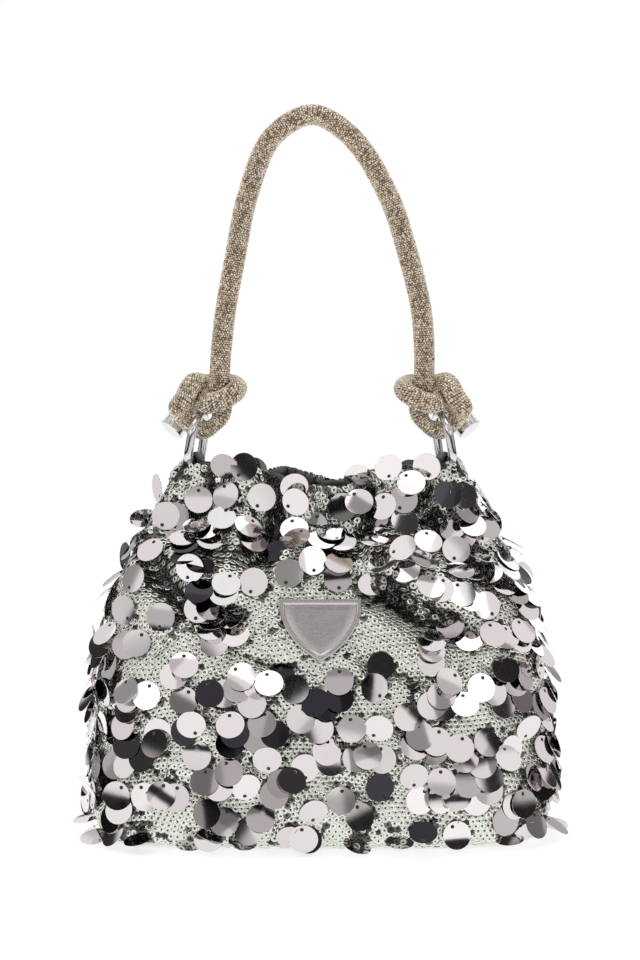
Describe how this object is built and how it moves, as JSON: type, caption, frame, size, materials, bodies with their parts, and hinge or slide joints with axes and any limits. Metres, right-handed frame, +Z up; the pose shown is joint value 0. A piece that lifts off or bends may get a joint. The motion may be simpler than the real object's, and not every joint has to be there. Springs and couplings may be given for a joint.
{
  "type": "evening handbag",
  "caption": "Soft pouch bag covered in sequins and discs, with a gathered mouth, a magnetic snap and a rope handle knotted round two D-rings.",
  "frame": {"origin": "on the ground under the middle of the flat base", "axes": "+Z up, front of the bag and its badge towards -Y, width along X"},
  "size_m": [0.228, 0.108, 0.3645],
  "materials": {
    "sequin_fabric": "silver and cream sequins, bright metallic",
    "lining": "dark satin twill",
    "facing": "smooth black",
    "board": "raw fibre board",
    "satin_metal": "satin",
    "polished_metal": "polished",
    "magnet": "dark sintered",
    "crystal_mesh": "faceted stones set in mesh, sparkling",
    "cord": "braided cotton"
  },
  "bodies": {
    "bag": {"gusset_strip": "sequin_fabric", "lining_strip": "lining", "base_board": "board", "left_ring_tab": "facing", "right_ring_tab": "facing"},
    "front_wall": {"front_panel": "sequin_fabric", "front_lining": "lining", "front_facing": "facing", "badge_plate": "satin_metal", "badge_backing_plate": "satin_metal", "snap_socket": "polished_metal", "snap_magnet": "magnet", "snap_socket_washer": "satin_metal"},
    "back_wall": {"back_panel": "sequin_fabric", "back_lining": "lining", "back_facing": "facing", "inner_pocket": "lining", "snap_stud": "polished_metal", "snap_stud_washer": "satin_metal"},
    "handle": {"rope_sleeve": "crystal_mesh", "rope_core": "cord", "left_end_cap": "polished_metal", "right_end_cap": "polished_metal"},
    "left_ring": {"left_d_ring": "polished_metal"},
    "right_ring": {"right_d_ring": "polished_metal"}
  },
  "joints": [
    {"name": "handle_swing", "type": "hinge", "parent": "bag", "child": "handle", "pos_m": [0, 0, 0.2], "axis": [1, 0, 0], "range_deg": [-55, 55]},
    {"name": "left_ring_tilt", "type": "hinge", "parent": "bag", "child": "left_ring", "pos_m": [-0.06308, 0, 0.18815], "axis": [0.2527, 0.9667, -0.04], "range_deg": [-4, 4]},
    {"name": "right_ring_tilt", "type": "hinge", "parent": "bag", "child": "right_ring", "pos_m": [0.06308, 0, 0.18815], "axis": [0.2527, -0.9667, 0.04], "range_deg": [-4, 4]},
    {"name": "front_wall_open", "type": "hinge", "parent": "bag", "child": "front_wall", "pos_m": [0, -0.052, 0.003], "axis": [1, 0, 0], "range_deg": [0, 10], "stiffness_Nm_per_rad": 0.15},
    {"name": "back_wall_open", "type": "hinge", "parent": "bag", "child": "back_wall", "pos_m": [0, 0.052, 0.003], "axis": [-1, 0, 0], "range_deg": [0, 10], "stiffness_Nm_per_rad": 0.15}
  ]
}
